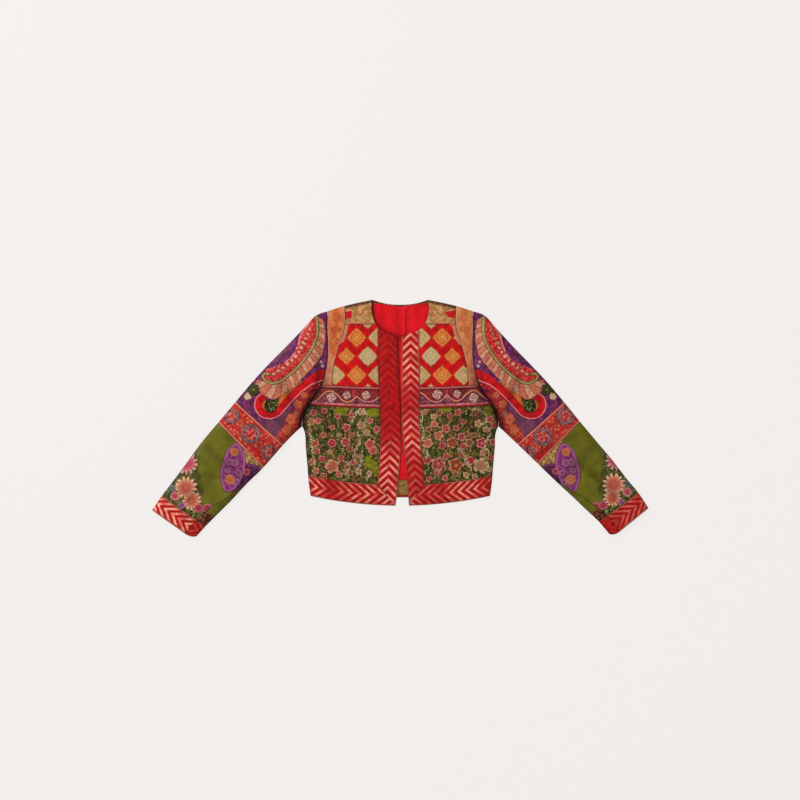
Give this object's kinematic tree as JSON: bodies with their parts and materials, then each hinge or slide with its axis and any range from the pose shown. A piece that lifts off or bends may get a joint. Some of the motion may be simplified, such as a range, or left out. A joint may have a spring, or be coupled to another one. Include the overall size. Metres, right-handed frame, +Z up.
{
  "type": "jacket laid flat",
  "caption": "Cropped collarless open-front jacket in patchwork brocade with braid bands, laid flat front up.",
  "frame": {"origin": "middle of the jacket's outline, on the surface that it lies on", "axes": "+X towards the wearer's left, +Y from hem to neck, +Z up from the surface"},
  "size_m": [1.1908, 0.568, 0.0177],
  "materials": {
    "chevron_braid": "woven braid, deep red with salmon metallic chevrons and pink-beige selvages",
    "green_brocade": "silk brocade, olive green with small coral, pink and cream flowers",
    "vine_brocade": "silk brocade, dark mauve with a gold-pink vine and pale rosettes",
    "diamond_brocade": "silk brocade, bright red with orange and tan-green diamonds",
    "gold_brocade": "silk brocade, tan gold with small figures",
    "trellis_brocade": "silk brocade, orange peach with red-brown lozenges",
    "paisley_brocade": "silk brocade, purple and red with large paisley scrolls",
    "rosette_brocade": "silk brocade, red-orange with grey-blue and pink rosettes",
    "red_lining": "plain bright red lining with a soft sheen",
    "facing_cloth": "olive-tan cloth, plain"
  },
  "bodies": {
    "root": {"front_band_right": "chevron_braid", "front_band_left": "chevron_braid", "front_hem_band_right": "chevron_braid", "front_hem_band_left": "chevron_braid", "lower_panel_right": "green_brocade", "lower_panel_left": "green_brocade", "vine_border_right": "vine_brocade", "vine_border_left": "vine_brocade", "upper_panel_right": "diamond_brocade", "upper_panel_left": "diamond_brocade", "yoke_right": "gold_brocade", "yoke_left": "gold_brocade", "armhole_strip_right": "trellis_brocade", "armhole_strip_left": "trellis_brocade", "sleeve_top_upper_right": "paisley_brocade", "sleeve_top_upper_left": "paisley_brocade", "sleeve_border_right": "rosette_brocade", "sleeve_border_left": "rosette_brocade", "sleeve_top_lower_right": "green_brocade", "sleeve_top_lower_left": "green_brocade", "sleeve_under_right": "paisley_brocade", "sleeve_under_left": "paisley_brocade", "cuff_top_right": "chevron_braid", "cuff_top_left": "chevron_braid", "cuff_under_right": "chevron_braid", "cuff_under_left": "chevron_braid", "back_panel": "green_brocade", "back_hem_band": "chevron_braid", "back_lining": "red_lining", "back_hem_facing": "facing_cloth"}
  },
  "joints": []
}
